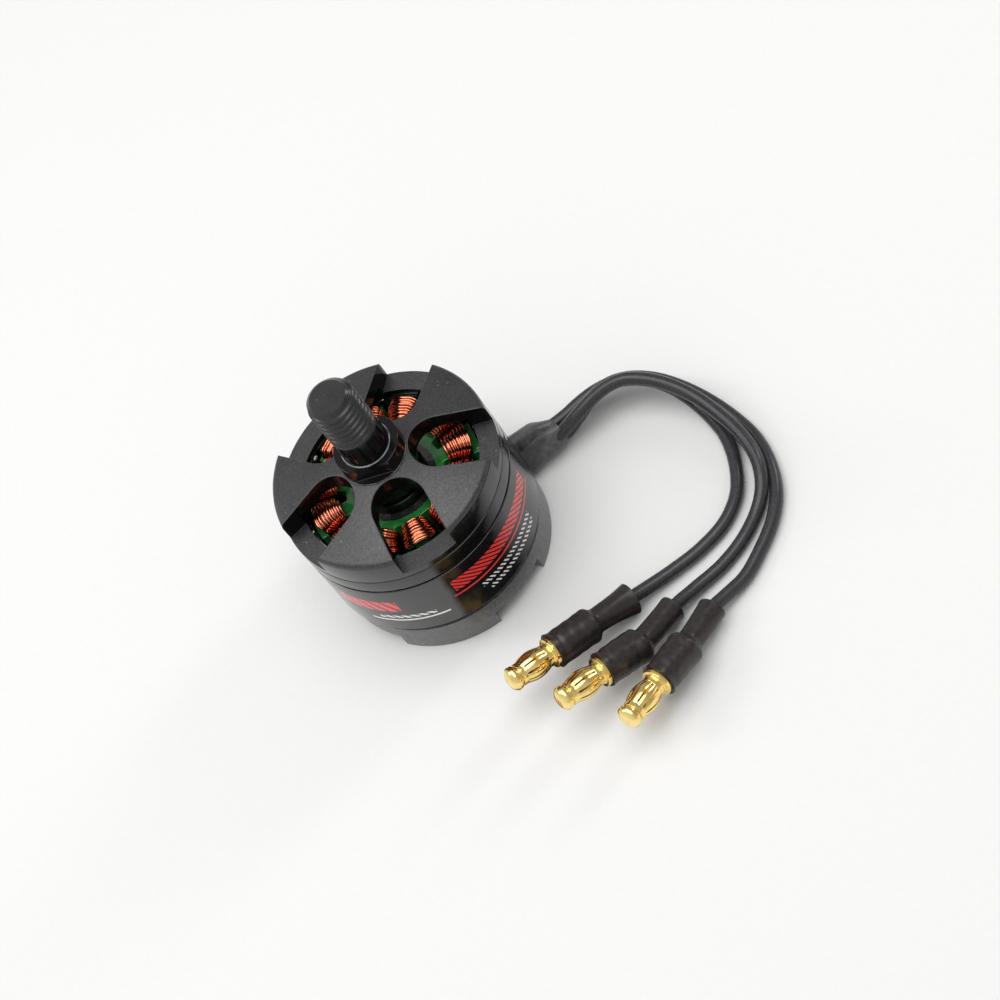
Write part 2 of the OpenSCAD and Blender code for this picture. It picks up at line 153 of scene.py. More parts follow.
# Each plug: the bullet's tip, the heading of its axis, and its drop towards the lead, in degrees.
PLUG_PLACES = {
    "a": ((-11.2, -23.6, 7.4), -9, 17),
    "b": ((-9.9, -30.6, 7.4), -8, 18),
    "c": ((-7.4, -38.6, 6.2), 7, 14),
}
SPRING_X = (2.0, 5.4)
SPRING_R = 1.8
SPRING_FOOT_R = 1.44
SPRING_LEAVES = 10
COLLAR_R = 1.43
FLANGE_X = (6.1, 6.6)
CUP_R = 1.78
CUP_END_X = 12.0
PLUG_SIDES = 64
SLEEVE_R = 2.2
SLEEVE_LEN = 6.1       # of the fat part, over the solder cup
SLEEVE_NECK_R = 1.5
SLEEVE_END_R = {"a": 2.0, "b": 1.75, "c": 1.7}

# Exit sleeve: how far apart the ridges of its leads are, and the centre, half width, half height
# and heading of each section.
LEAD_SPACING = 1.75
EXIT_SECTIONS = [
    ((12.3, -0.4, 1.3), 3.3, 1.0, -8),
    ((13.6, -0.7, 1.4), 3.4, 1.15, -10),
    ((15.2, -1.5, 1.8), 3.1, 1.5, -18),
    ((16.8, -2.3, 2.1), 2.8, 1.8, -22),
    ((18.2, -3.2, 2.3), 2.35, 1.9, -20),
    ((19.4, -3.7, 2.4), 1.9, 1.8, -14),
]


def linked(name, data):
    """A new object of the scene that holds this mesh, curve, lamp or camera."""
    item = bpy.data.objects.new(name, data)
    bpy.context.scene.collection.objects.link(item)
    return item


# ---- camera and lights

CAMERA_TURN = radians(-15.5)
CAMERA_ELEVATION = radians(54.55)
CAMERA_ROLL = radians(39.03)
CAMERA_DISTANCE = 406.4
CAMERA_LENS = 119.0
CAMERA_SENSOR = 36.0
CAMERA_AIM = (-0.01419, 0.01561)


def make_camera():
    """A long lens, high above the motor and rolled to one side."""
    data = bpy.data.cameras.new("camera")
    data.lens = CAMERA_LENS
    data.sensor_width = CAMERA_SENSOR
    data.clip_start = 10 * MM
    back = Vector((0, -cos(CAMERA_ELEVATION), sin(CAMERA_ELEVATION)))
    right = Vector((1, 0, 0))
    level = Matrix((right, back.cross(right), back))
    aim = Matrix.Rotation(CAMERA_AIM[0], 3, "X") @ Matrix.Rotation(CAMERA_AIM[1], 3, "Y")
    rolled = aim @ Matrix.Rotation(CAMERA_ROLL, 3, "Z") @ level
    turn = Matrix.Rotation(CAMERA_TURN, 3, "Z")
    place = turn @ back * CAMERA_DISTANCE * MM
    camera = linked("camera", data)
    camera.matrix_world = Matrix.Translation(place) @ (turn @ rolled.transposed()).to_4x4()
    bpy.context.scene.camera = camera


def make_softbox(name, place_mm, target_mm, size_mm, watts):
    """A rectangular lamp that looks from its place at its target."""
    data = bpy.data.lights.new(name, "AREA")
    data.shape = "RECTANGLE"
    data.size, data.size_y = (side * MM for side in size_mm)
    data.energy = watts
    lamp = linked(name, data)
    place = Vector(place_mm) * MM
    back = (place - Vector(target_mm) * MM).normalized()
    lamp.matrix_world = Matrix.Translation(place) @ back.to_track_quat("Z", "Y").to_matrix().to_4x4()


def make_light():
    """A studio whose light falls off from -X to +X, and three softboxes."""
    world = bpy.data.worlds.new("studio")
    world.use_nodes = True
    tree = world.node_tree
    background = tree.nodes["Background"]
    background.inputs["Color"].default_value = (1.0, 0.998, 0.994, 1)
    direction = tree.nodes.new("ShaderNodeTexCoord")
    split = tree.nodes.new("ShaderNodeSeparateXYZ")
    falloff = tree.nodes.new("ShaderNodeMapRange")
    for socket, value in (("From Min", -0.9), ("From Max", 0.9), ("To Min", 0.78), ("To Max", 0.32)):
        falloff.inputs[socket].default_value = value
    tree.links.new(direction.outputs["Generated"], split.inputs[0])
    tree.links.new(split.outputs["X"], falloff.inputs["Value"])
    tree.links.new(falloff.outputs[0], background.inputs["Strength"])
    bpy.context.scene.world = world
    bpy.context.scene.view_settings.view_transform = "Standard"
    make_softbox("overhead_softbox", (-8, -5, 460), (0, 0, 0), (470, 350), 1.45)
    make_softbox("key_softbox", (-260, 300, 330), (5, -10, 5), (110, 160), 0.45)
    make_softbox("side_softbox", (420, -60, 220), (0, -5, 10), (80, 200), 0.3)


# ---- materials

class Surface:
    """A Principled material, with short ways to add detail to it."""

    def __init__(self, name, colour, roughness, metallic=0.0):
        self.material = bpy.data.materials.new(name)
        self.material.use_nodes = True
        self.tree = self.material.node_tree
        self.shader = self.tree.nodes["Principled BSDF"]
        self.put("Base Color", (*colour, 1.0))
        self.put("Roughness", roughness)
        self.put("Metallic", metallic)
        self.place = self.add("ShaderNodeTexCoord").outputs["Object"]
        self.normal = None

    def feed(self, socket, value):
        """Sets an input to a constant, or links an output to it."""
        if isinstance(value, bpy.types.NodeSocket):
            self.tree.links.new(value, socket)
        else:
            socket.default_value = value

    def put(self, socket, value):
        """Feeds one of the shader's own sockets."""
        self.feed(self.shader.inputs[socket], value)

    def add(self, kind, inputs=None, **settings):
        """A new node, with its inputs set or linked."""
        node = self.tree.nodes.new(kind)
        for name, value in settings.items():
            setattr(node, name, value)
        for name, value in (inputs or {}).items():
            self.feed(node.inputs[name], value)
        return node

    def math(self, operation, *values):
        inputs = dict(enumerate(values))
        return self.add("ShaderNodeMath", inputs, operation=operation).outputs[0]

    def product(self, first, *others):
        for other in others:
            first = self.math("MULTIPLY", first, other)
        return first

    def largest(self, first, *others):
        for other in others:
            first = self.math("MAXIMUM", first, other)
        return first

    def within(self, value, low, high):
        """1 where value lies between low and high, and 0 elsewhere."""
        above = self.math("GREATER_THAN", value, low)
        return self.product(above, self.math("LESS_THAN", value, high))

    def stretched(self, x, y, z):
        """Object space scaled along each axis, for grain that runs one way."""
        inputs = {"Vector": self.place, "Scale": (x, y, z)}
        return self.add("ShaderNodeMapping", inputs).outputs[0]

    def noise(self, size, detail=3.0, place=None):
        """Noise from 0 to 1 whose lumps are about size millimetres."""
        inputs = {"Vector": place or self.place, "Scale": 1 / (size * MM), "Detail": detail}
        return self.add("ShaderNodeTexNoise", inputs).outputs["Fac"]

    def specks(self, spacing, share):
        """1 inside small dots, spacing millimetres apart, and 0 between them."""
        inputs = {"Vector": self.place, "Scale": 1 / (spacing * MM)}
        distance = self.add("ShaderNodeTexVoronoi", inputs).outputs["Distance"]
        return self.math("LESS_THAN", distance, share)

    def ramp(self, value, low, high, start=0.0, end=1.0):
        """start below low, end above high, and a straight line between."""
        inputs = {"Value": value, "From Min": low, "From Max": high, "To Min": start, "To Max": end}
        return self.add("ShaderNodeMapRange", inputs).outputs[0]

    def blend(self, factor, first, second):
        """A colour between first and second."""
        node = self.add("ShaderNodeMix", {0: factor}, data_type="RGBA")
        for socket, colour in ((6, first), (7, second)):
            self.feed(node.inputs[socket], (*colour, 1.0) if isinstance(colour, tuple) else colour)
        return node.outputs[2]

    def paint(self, factor, first, second):
        """Gives the surface a colour between first and second."""
        self.put("Base Color", self.blend(factor, first, second))

    def bump(self, height, depth):
        """Raises the surface by height times depth millimetres, over any earlier bump."""
        inputs = {"Height": height, "Distance": depth * MM, "Strength": 1.0}
        if self.normal is not None:
            inputs["Normal"] = self.normal
        self.normal = self.add("ShaderNodeBump", inputs).outputs[0]
        self.put("Normal", self.normal)

    def axes(self):
        """The x, y and z of object space, in metres."""
        node = self.add("ShaderNodeSeparateXYZ", {"Vector": self.place})
        return node.outputs[0], node.outputs[1], node.outputs[2]

    def radius(self):
        """Distance from the motor's axis, in metres."""
        x, y, _ = self.axes()
        return self.math("SQRT", self.math("ADD", self.product(x, x), self.product(y, y)))


BLACK = (0.004, 0.004, 0.004)
DUST = (0.34, 0.34, 0.35)
# the light grey of the painted edge highlights
EDGE_HIGHLIGHT_GREY = (0.27, 0.28, 0.29)
GLOSS_ROUGHNESS = 0.13
GLOSS_LEVEL = 0.24
BLASTED_LEVEL = 0.5


def anodised(name, colour, roughness, grit, glossy=None, shine=None, bare=None):
    """Bead-blasted black anodising: fine grit, soft patches and a few dust specks.

    glossy(surface) may give a mask, 1 where the blasting stops and the turned gloss shows,
    shine(surface) the specular level there, and bare(surface) a mask of painted highlights: thin light
    grey lines on edges.
    """
    surface = Surface(name, colour, roughness)
    fine = surface.noise(0.13, 2.0)
    patch = surface.noise(3.5, 4.0)
    lighter = tuple(c * 3.0 + 0.006 for c in colour)
    body = surface.blend(surface.ramp(fine, 0.38, 0.72), colour, lighter)
    body = surface.blend(surface.ramp(patch, 0.3, 0.8, 0.0, 0.25), body, lighter)
    blasted = surface.math("SUBTRACT", 1.0, glossy(surface)) if glossy else 1.0
    body = surface.blend(blasted, BLACK, body)
    dusty = surface.ramp(surface.noise(2.2), 0.50, 0.56)
    body = surface.blend(surface.product(surface.specks(0.8, 0.07), dusty, blasted), body, DUST)
    if bare:
        # painted highlight: the thin edge lines that bare() masks take a light grey
        body = surface.blend(bare(surface), body, EDGE_HIGHLIGHT_GREY)
    surface.put("Base Color", body)
    rough = surface.ramp(patch, 0.3, 0.75, roughness - 0.05, roughness + 0.08)
    rougher = surface.product(blasted, surface.math("SUBTRACT", rough, GLOSS_ROUGHNESS))
    surface.put("Roughness", surface.math("ADD", GLOSS_ROUGHNESS, rougher))
    surface.put("IOR", 1.6)
    grain = surface.ramp(surface.noise(0.22, 1.0), 0.3, 0.7, -0.12 * grit, 0.12 * grit)
    turned = shine(surface) if shine else GLOSS_LEVEL
    rise = surface.math("SUBTRACT", surface.math("ADD", grain, BLASTED_LEVEL), turned)
    level = surface.math("ADD", turned, surface.product(rise, blasted))
    surface.put("Specular IOR Level", level)
    surface.bump(surface.product(fine, blasted), 0.012 * grit)
    surface.bump(surface.product(surface.noise(0.4), blasted), 0.012 * grit)
    return surface


def upright_walls(surface):
    """The bell's turned side and the milled walls of its slots."""
    normal = surface.place.node.outputs["Normal"]
    tilt = surface.add("ShaderNodeSeparateXYZ", {"Vector": normal}).outputs[2]
    return surface.ramp(surface.math("ABSOLUTE", tilt), 0.45, 0.25)


def outside_shine(surface):
    """Full on the bell's turned side, and low on the milled walls of its slots."""
    return surface.ramp(surface.radius(), (BELL_R - 0.5) * MM, (BELL_R - 0.2) * MM, 0.08, 0.5)


def bearing_tube(surface):
    """The glossy tube in the middle of the base."""
    return surface.math("LESS_THAN", surface.radius(), (TUBE_FOOT_R + 0.05) * MM)


def turned_neck(surface):
    """The adapter below its thread."""
    _, _, z = surface.axes()
    return surface.math("LESS_THAN", z, THREAD_Z * MM)


def painted_edge_highlights(surface):
    """Painted highlights: thin light grey lines where the boss meets the cap and where the neck meets the
    boss.
    """
    _, _, z = surface.axes()
    radius = surface.radius()
    masks = []
    edges = ((CAP_TOP, 0.24, HUB_R - 0.3, HUB_R), (BOSS_TOP, 0.09, NECK_R, NECK_R + 0.16))
    for height, width, low, high in edges:
        across = surface.within(radius, (low - GAP) * MM, high * MM)
        upright = surface.within(z, (height - GAP) * MM, (height + width) * MM)
        masks.append(surface.product(across, upright))
    return surface.product(surface.largest(*masks), surface.ramp(surface.noise(2.0), 0.3, 0.6))


def printed_ring():
    """Gloss black flux ring with generic stripes and tick marks printed round it."""
    surface = Surface("gloss_black_ring", (0.012, 0.012, 0.013), 0.1)
    x, y, z = surface.axes()
    angle = surface.math("ARCTAN2", y, x)

    def mark(low_angle, high_angle, low_z, high_z, ticks=0, share=0.5, slant=0.0):
        """A stretch of the ring, whole or cut into ticks that fill a share of it."""
        stretch = surface.within(angle, radians(low_angle), radians(high_angle))
        shape = surface.product(stretch, surface.within(z, low_z * MM, high_z * MM))
        if ticks:
            leaning = surface.math("ADD", angle, surface.product(z, slant / MM))
            turn = surface.product(leaning, ticks / tau)
            inked = surface.math("LESS_THAN", surface.math("FRACT", turn), share)
            shape = surface.product(shape, inked)
        return shape

    red = surface.largest(
        mark(-118, -44, 10.35, 10.65),
        mark(-116, -46, 11.3, 13.5, ticks=100, share=0.68, slant=0.08),
        mark(-180, -146, 10.6, 13.0, ticks=56, share=0.72, slant=0.06),
    )
    white = surface.largest(
        mark(-104, -60, 8.7, 9.45, ticks=140, share=0.45, slant=0.05),
        mark(-101, -60, 7.3, 8.05, ticks=140, share=0.45, slant=0.05),
        mark(-166, -124, 8.2, 8.5),
        mark(-160, -130, 8.9, 9.5, ticks=80, share=0.6, slant=0.1),
    )
    patch = surface.ramp(surface.noise(6.0, 4.0), 0.3, 0.8)
    body = surface.blend(patch, (0.006, 0.006, 0.006), (0.012, 0.012, 0.012))
    body = surface.blend(red, body, (0.80, 0.05, 0.045))
    surface.paint(white, body, (0.85, 0.85, 0.84))
    smear = surface.noise(1.0, 4.0, surface.stretched(1, 1, 6))
    surface.put("Roughness", surface.ramp(smear, 0.3, 0.8, 0.07, 0.14))
    surface.put("IOR", 1.68)
    surface.bump(smear, 0.001)
    return surface


def machined(name, colour, roughness):
    """Turned or ground metal with fine rings round the motor's axis."""
    surface = Surface(name, colour, roughness, metallic=1.0)
    rings = surface.noise(0.12, 3.0, surface.stretched(0.2, 0.2, 3))
    stain = surface.noise(2.0, 4.0)
    surface.put("Roughness", surface.ramp(stain, 0.3, 0.8, roughness - 0.06, roughness + 0.12))
    darker = tuple(c * 0.72 for c in colour)
    surface.paint(surface.ramp(stain, 0.35, 0.8, 0.0, 0.6), colour, darker)
    surface.bump(rings, 0.003)
    return surface


def copper_wire():
    """Enamelled copper: orange-red, glossy, with darker amber where the enamel is thick."""
    surface = Surface("enamelled_copper", (0.83, 0.25, 0.10), 0.22, metallic=1.0)
    tone = surface.ramp(surface.noise(1.3, 3.0), 0.3, 0.75)
    surface.paint(tone, (0.97, 0.45, 0.28), (0.62, 0.14, 0.055))
    surface.put("Roughness", surface.ramp(surface.noise(0.5), 0.3, 0.8, 0.06, 0.16))
    surface.put("Coat Weight", 1.0)
    surface.put("Coat Roughness", 0.06)
    surface.put("Coat Tint", (1.0, 0.78, 0.64, 1.0))
    surface.bump(surface.noise(0.25), 0.006)
    return surface


def epoxy_core():
    """Green powder epoxy over the lamination stack, bare at the bore and the shoe faces."""
    surface = Surface("epoxy_core", (0.03, 0.27, 0.06), 0.2)
    radius = surface.radius()
    _, _, z = surface.axes()
    ragged = surface.math("ADD", radius, surface.product(surface.noise(0.22, 3.0), 0.45 * MM))
    bore = surface.math("LESS_THAN", ragged, 5.6 * MM)
    bare = surface.largest(bore, surface.math("GREATER_THAN", radius, (SHOE_R[1] - 0.07) * MM))
    leaves = surface.math("FRACT", surface.product(z, 1 / (0.35 * MM)))
    gap = surface.ramp(surface.math("ABSOLUTE", surface.math("SUBTRACT", leaves, 0.5)), 0.38, 0.48)
    lumps = surface.noise(1.4, 3.0)
    green = surface.blend(surface.ramp(lumps, 0.3, 0.75), (0.008, 0.10, 0.018), (0.03, 0.24, 0.045))
    steel = surface.blend(gap, (0.30, 0.30, 0.31), (0.03, 0.03, 0.03))
    # the bore's bare steel is near black, with a fine speckle
    near_black_bore = surface.blend(surface.noise(0.15), BLACK, (0.03, 0.03, 0.03))
    steel = surface.blend(bore, steel, near_black_bore)
    surface.paint(bare, green, steel)
    faces = surface.math("SUBTRACT", bare, bore)
    surface.put("Metallic", faces)
    surface.put("Roughness", surface.ramp(faces, 0, 1, 0.16, 0.42))
    surface.put("Coat Weight", 0.35)
    surface.bump(lumps, 0.10)
    surface.bump(surface.product(gap, bare, -1.0), 0.03)
    return surface


def gold():
    """Bright gold plating with turning marks and slight wear."""
    surface = Surface("gold_plating", (1.0, 0.80, 0.40), 0.16, metallic=1.0)
    wear = surface.noise(1.1, 4.0)
    worn = surface.ramp(wear, 0.4, 0.8)
    surface.paint(worn, (1.0, 0.79, 0.32), (0.82, 0.57, 0.16))
    surface.put("Roughness", surface.ramp(wear, 0.3, 0.8, 0.10, 0.26))
    surface.bump(surface.noise(0.14, 2.0), 0.004)
    return surface


def rubber(name, colour, roughness, scuff):
    """Silicone or shrunk tubing: satin, faintly scuffed, with dust in the scuffs."""
    surface = Surface(name, colour, roughness)
    scuffs = surface.noise(0.6, 5.0)
    lighter = tuple(c * 1.8 + 0.006 for c in colour)
    worn = surface.ramp(scuffs, 0.5, 0.85, 0.0, 0.8 * scuff)
    surface.paint(worn, colour, lighter)
    surface.put("Roughness", surface.ramp(scuffs, 0.3, 0.8, roughness - 0.08, roughness + 0.12))
    surface.put("IOR", 1.45)
    surface.bump(surface.noise(0.16, 2.0), 0.008 * scuff)
    surface.bump(surface.noise(1.2, 3.0), 0.04 * scuff)
    return surface


def floor_paper():
    """Plain pale paper with a faint tooth."""
    surface = Surface("pale_paper", (0.78, 0.78, 0.775), 0.75)
    tooth = surface.ramp(surface.noise(0.8, 3.0), 0.3, 0.8)
    surface.paint(tooth, (0.77, 0.77, 0.765), (0.785, 0.785, 0.78))
    surface.put("Specular IOR Level", 0.1)
    return surface


MATERIALS = {
    "cap_anodised": anodised(
        "blasted_black_cap", (0.010, 0.010, 0.011), 0.38, 1.0, upright_walls, outside_shine),
    "base_anodised": anodised("satin_black_base", (0.062, 0.062, 0.062), 0.30, 0.6, bearing_tube),
    "adapter_black": anodised(
        "black_adapter", (0.002, 0.002, 0.0022), 0.27, 0.3, turned_neck, bare=painted_edge_highlights),
    "ring_black": printed_ring(),
    "magnet_nickel": machined("nickel_plate", (0.62, 0.60, 0.57), 0.16),
    "shaft_steel": machined("ground_steel", (0.62, 0.62, 0.63), 0.18),
    "clip_steel": machined("spring_steel", (0.30, 0.29, 0.28), 0.3),
    "bearing_steel": machined("bearing_steel", (0.66, 0.66, 0.67), 0.2),
    "cage_brass": machined("pressed_brass", (0.60, 0.42, 0.16), 0.3),
    "shield_steel": machined("shield_steel", (0.48, 0.48, 0.49), 0.32),
    "core_epoxy": epoxy_core(),
    "winding_copper": copper_wire(),
    "exit_sleeve": rubber("grey_shrink_tube", (0.075, 0.074, 0.073), 0.32, 1.3),
    "lead_silicone": rubber("black_silicone", (0.030, 0.030, 0.033), 0.28, 0.25),
    "plug_gold": gold(),
    "plug_sleeve": rubber("brown_black_shrink", (0.022, 0.016, 0.016), 0.33, 1.0),
}

# The coils' dark filling is painted shade for the gaps between the wires. It is a second material of their
# pieces, so it has no slot of its own.
WIRE_GAP_SHADE = anodised("painted_gap_shade", (0.020, 0.004, 0.002), 0.35, 0.5)


# ---- mesh tools

def face_outwards(mesh):
    """Turns a closed mesh's faces round if they look into its solid."""
    shape = bmesh.new()
    shape.from_mesh(mesh)
    volume = shape.calc_volume(signed=True)
    shape.free()
    if volume < 0:
        mesh.flip_normals()


def finished(mesh, name, slot, body, nodes, smooth_below=40):
    """Gives a mesh (in millimetres) its object, its slot's material and its body, and hides the CAD nodes
    it stands for.
    """
    face_outwards(mesh)
    mesh.transform(Matrix.Scale(MM, 4))
    mesh.shade_smooth()
    mesh.set_sharp_from_angle(angle=radians(smooth_below))
    mesh.materials.clear()
    mesh.materials.append(MATERIALS[slot].material)
    piece = linked(name, mesh)
    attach(piece, body)
    if nodes:
        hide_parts(*nodes)
    return piece


def new_mesh(points, faces):
    """A mesh from its points and from each face's list of point numbers."""
    mesh = bpy.data.meshes.new("shape")
    mesh.from_pydata([tuple(p) for p in points], [], faces)
    mesh.validate()
    mesh.update()
    return mesh


def skin(rings, closed=False):
    """Joins rows of points, each a closed ring. The ends are capped unless the row is closed."""
    count, sides = len(rings), len(rings[0])
    points = [p for ring in rings for p in ring]
    faces = []
    for i in range(count if closed else count - 1):
        here, there = i * sides, ((i + 1) % count) * sides
        for k in range(sides):
            after = (k + 1) % sides
            faces.append((here + k, here + after, there + after, there + k))
    if not closed:
        faces.append(tuple(reversed(range(sides))))
        faces.append(tuple(range((count - 1) * sides, count * sides)))
    return new_mesh(points, faces)


def joined(*meshes):
    """One mesh that holds all of these."""
    points, faces = [], []
    for mesh in meshes:
        start = len(points)
        points += [v.co.copy() for v in mesh.vertices]
        faces += [tuple(start + k for k in face.vertices) for face in mesh.polygons]
    return new_mesh(points, faces)


def combined(base, others, operation):
    """base with each of the others cut away from it or fused to it."""
    owner = linked("work", base)
    helpers = []
    for mesh in others:
        helper = linked("helper", mesh)
        modifier = owner.modifiers.new("step", "BOOLEAN")
        modifier.operation = operation
        modifier.solver = "EXACT"
        modifier.object = helper
        helpers.append(helper)
    bpy.context.view_layer.update()
    graph = bpy.context.evaluated_depsgraph_get()
    result = bpy.data.meshes.new_from_object(owner.evaluated_get(graph))
    for piece in helpers + [owner]:
        bpy.data.objects.remove(piece)
    return result


def rounded(corners, steps=5):
    """A closed outline of (x, y, fillet) corners, with each corner rounded by its fillet."""
    outline = []
    for i, (x, y, fillet) in enumerate(corners):
        here = Vector((x, y))
        before = Vector(corners[i - 1][:2]) - here
        after = Vector(corners[(i + 1) % len(corners)][:2]) - here
        if fillet == 0:
            outline.append((x, y))
            continue
        start = here + before.normalized() * fillet
        end = here + after.normalized() * fillet
        for k in range(steps + 1):
            t = k / steps
            point = start * (1 - t) ** 2 + here * 2 * t * (1 - t) + end * t ** 2
            outline.append((point.x, point.y))
    return outline


def circle(radius, sides):
    """Points on a circle about the origin."""
    turns = [tau * k / sides for k in range(sides)]
    return [(radius * cos(t), radius * sin(t)) for t in turns]


def revolved(profile, segments):
    """Turns a closed outline of (radius, height) points about Z."""
    rings = []
    for c, s in circle(1, segments):
        rings.append([(r * c, r * s, z) for r, z in profile])
    return skin(rings, closed=True)


def cylinder(radius, low, high, centre=(0, 0), segments=96):
    """An upright round block."""
    rings = []
    for z in (low, high):
        rings.append([(centre[0] + x, centre[1] + y, z) for x, y in circle(radius, segments)])
    return skin(rings)


def grown(outline, amount):
    """A closed anticlockwise outline moved outwards by amount."""
    moved = []
    for i, point in enumerate(outline):
        here = Vector(point)
        into = (here - Vector(outline[i - 1])).normalized()
        out_of = (Vector(outline[(i + 1) % len(outline)]) - here).normalized()
        side = Vector((into.y + out_of.y, -into.x - out_of.x))
        side.normalize()
        stretch = max(0.5, side.dot(Vector((into.y, -into.x))))
        moved.append(tuple(here + side * amount / stretch))
    return moved


def slab(outline, low, high, edge):
    """An upright block with this outline and its top and bottom edges rounded."""
    steps = 3
    levels = []
    for k in range(steps + 1):
        turn = pi / 2 * k / steps
        levels.append((low + edge * (1 - cos(turn)), -edge * (1 - sin(turn))))
    mirror = [(high + low - z, inset) for z, inset in reversed(levels)]
    rings = []
    for z, inset in levels + mirror:
        rings.append([(x, y, z) for x, y in grown(outline, inset)])
    return skin(rings)


def turned_by(mesh, angle):
    """The same mesh, turned about the motor's axis."""
    mesh.transform(Matrix.Rotation(angle, 4, "Z"))
    return mesh


def arc(radius, start, end, steps):
    """Points on a circle about the axis, from one angle to another."""
    turns = [start + (end - start) * k / steps for k in range(steps + 1)]
    return [(radius * cos(t), radius * sin(t)) for t in turns]


def smooth_line(points, steps):
    """A curve through the points, with steps pieces between each two."""
    line = []
    count = len(points)
    for i in range(count - 1):
        p0, p1, p2, p3 = (Vector(points[min(max(i + k, 0), count - 1)]) for k in (-1, 0, 1, 2))
        bend = 2 * p0 - 5 * p1 + 4 * p2 - p3
        twist = 3 * p1 - p0 - 3 * p2 + p3
        for k in range(steps):
            t = k / steps
            line.append(0.5 * (2 * p1 + (p2 - p0) * t + bend * t * t + twist * t ** 3))
    line.append(Vector(points[-1]))
    return line


def section(centre, direction, shape):
    """A ring of points across a direction. Each (side, up) of shape is in millimetres."""
    direction = direction.normalized()
    side = Vector((-direction.y, direction.x, 0)).normalized()
    up = direction.cross(side)
    return [centre + side * s + up * u for s, u in shape]


def direction_at(line, i):
    """The way a line of points runs at its point i."""
    return line[min(i + 1, len(line) - 1)] - line[max(i - 1, 0)]


# ---- leads

def make_lead(letter):
    """One silicone lead, as a round curve along its route."""
    line = smooth_line(LEAD_ROUTES[letter], 6)
    data = bpy.data.curves.new("lead", "CURVE")
    data.dimensions = "3D"
    data.bevel_depth = LEAD_D / 2 * MM
    data.bevel_resolution = 6
    data.use_fill_caps = True
    spline = data.splines.new("POLY")
    spline.points.add(len(line) - 1)
    for point, place in zip(spline.points, line):
        point.co = (*(place * MM), 1.0)
    spline.use_smooth = True
    data.materials.append(MATERIALS["lead_silicone"].material)
    lead = linked("silicone_lead_" + letter, data)
    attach(lead, "stator")
    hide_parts("lead_" + letter)
    return lead


# ---- plugs

def plug_matrix(letter):
    """Places a plug that is built along +X from its tip."""
    tip, heading, drop = PLUG_PLACES[letter]
    turn = Matrix.Rotation(radians(heading), 4, "Z") @ Matrix.Rotation(radians(drop), 4, "Y")
    return Matrix.Translation(tip) @ turn


def turned_along_x(profile):
    """Turns a closed outline of (distance, radius) points about X."""
    rings = []
    for c, s in circle(1, PLUG_SIDES):
        rings.append([(x, r * c, r * s) for x, r in profile])
    return skin(rings, closed=True)


def make_bullet_pin(letter):
    """Domed cap, groove, collars and flange, turned from one piece."""
    nose = [
        (0.0, AXIS_R, 0), (0.0, 0.85, 0.3), (0.38, 1.42, 0.35), (0.6, 1.5, 0.1), (1.18, 1.48, 0.08),
        (1.22, 1.15, 0.03), (1.38, 1.15, 0.03), (1.42, 1.42, 0.04),
    ]
    waist = [
        (SPRING_X[0] + 0.1, COLLAR_R, 0.04), (SPRING_X[0] + 0.2, 1.05, 0.1),
        (SPRING_X[1] - 0.2, 1.05, 0.1), (SPRING_X[1] - 0.1, COLLAR_R, 0.04),
    ]
    collar = [(5.75, COLLAR_R, 0.03), (5.78, 1.34, 0.02), (5.86, 1.34, 0.02), (5.9, 1.46, 0.03)]
    flange = [
        (FLANGE_X[0] - 0.05, 1.5, 0.04), (FLANGE_X[0], 1.92, 0.04),
        (FLANGE_X[1], 1.94, 0.05), (FLANGE_X[1] + 0.05, CUP_R, 0.03),
    ]
    cup = [(CUP_END_X, CUP_R, 0.1), (CUP_END_X, AXIS_R, 0)]
    mesh = turned_along_x(rounded(nose + waist + collar + flange + cup, 4))
    mesh.transform(plug_matrix(letter))
    return finished(mesh, "gold_bullet_" + letter, "plug_gold", "stator", ["bullet_pin_" + letter], 32)


def make_bullet_spring(letter):
    """Bowed leaves with slits between them, held by a collar at each end."""
    across, along = 6, 20
    thickness, slit = 0.16, 0.26
    start, end = SPRING_X
    meshes = []
    for leaf in range(SPRING_LEAVES):
        middle = tau * (leaf + 0.5) / SPRING_LEAVES
        rings = []
        for i in range(along + 1):
            t = i / along
            bow = sin(pi * t)
            outer = SPRING_FOOT_R + (SPRING_R - SPRING_FOOT_R) * bow
            half = pi / SPRING_LEAVES - slit / 2 / outer * min(1, bow * 3)
            x = start + (end - start) * t
            front, back = [], []
            for k in range(across + 1):
                a = half * (2 * k / across - 1)
                crown = outer - 0.5 * outer * a * a
                for side, r in ((front, crown), (back, crown - thickness)):
                    side.append((x, r * cos(middle + a), r * sin(middle + a)))
            rings.append(front + back[::-1])
        meshes.append(skin(rings))
    mesh = joined(*meshes)
    mesh.transform(plug_matrix(letter))
    nodes = ["bullet_spring_" + letter]
    return finished(mesh, "lantern_spring_" + letter, "plug_gold", "stator", nodes, 35)


def hill(x, middle, width):
    """1 at the middle, falling to 0 on both sides of it."""
    return exp(-((x - middle) / width) ** 2)


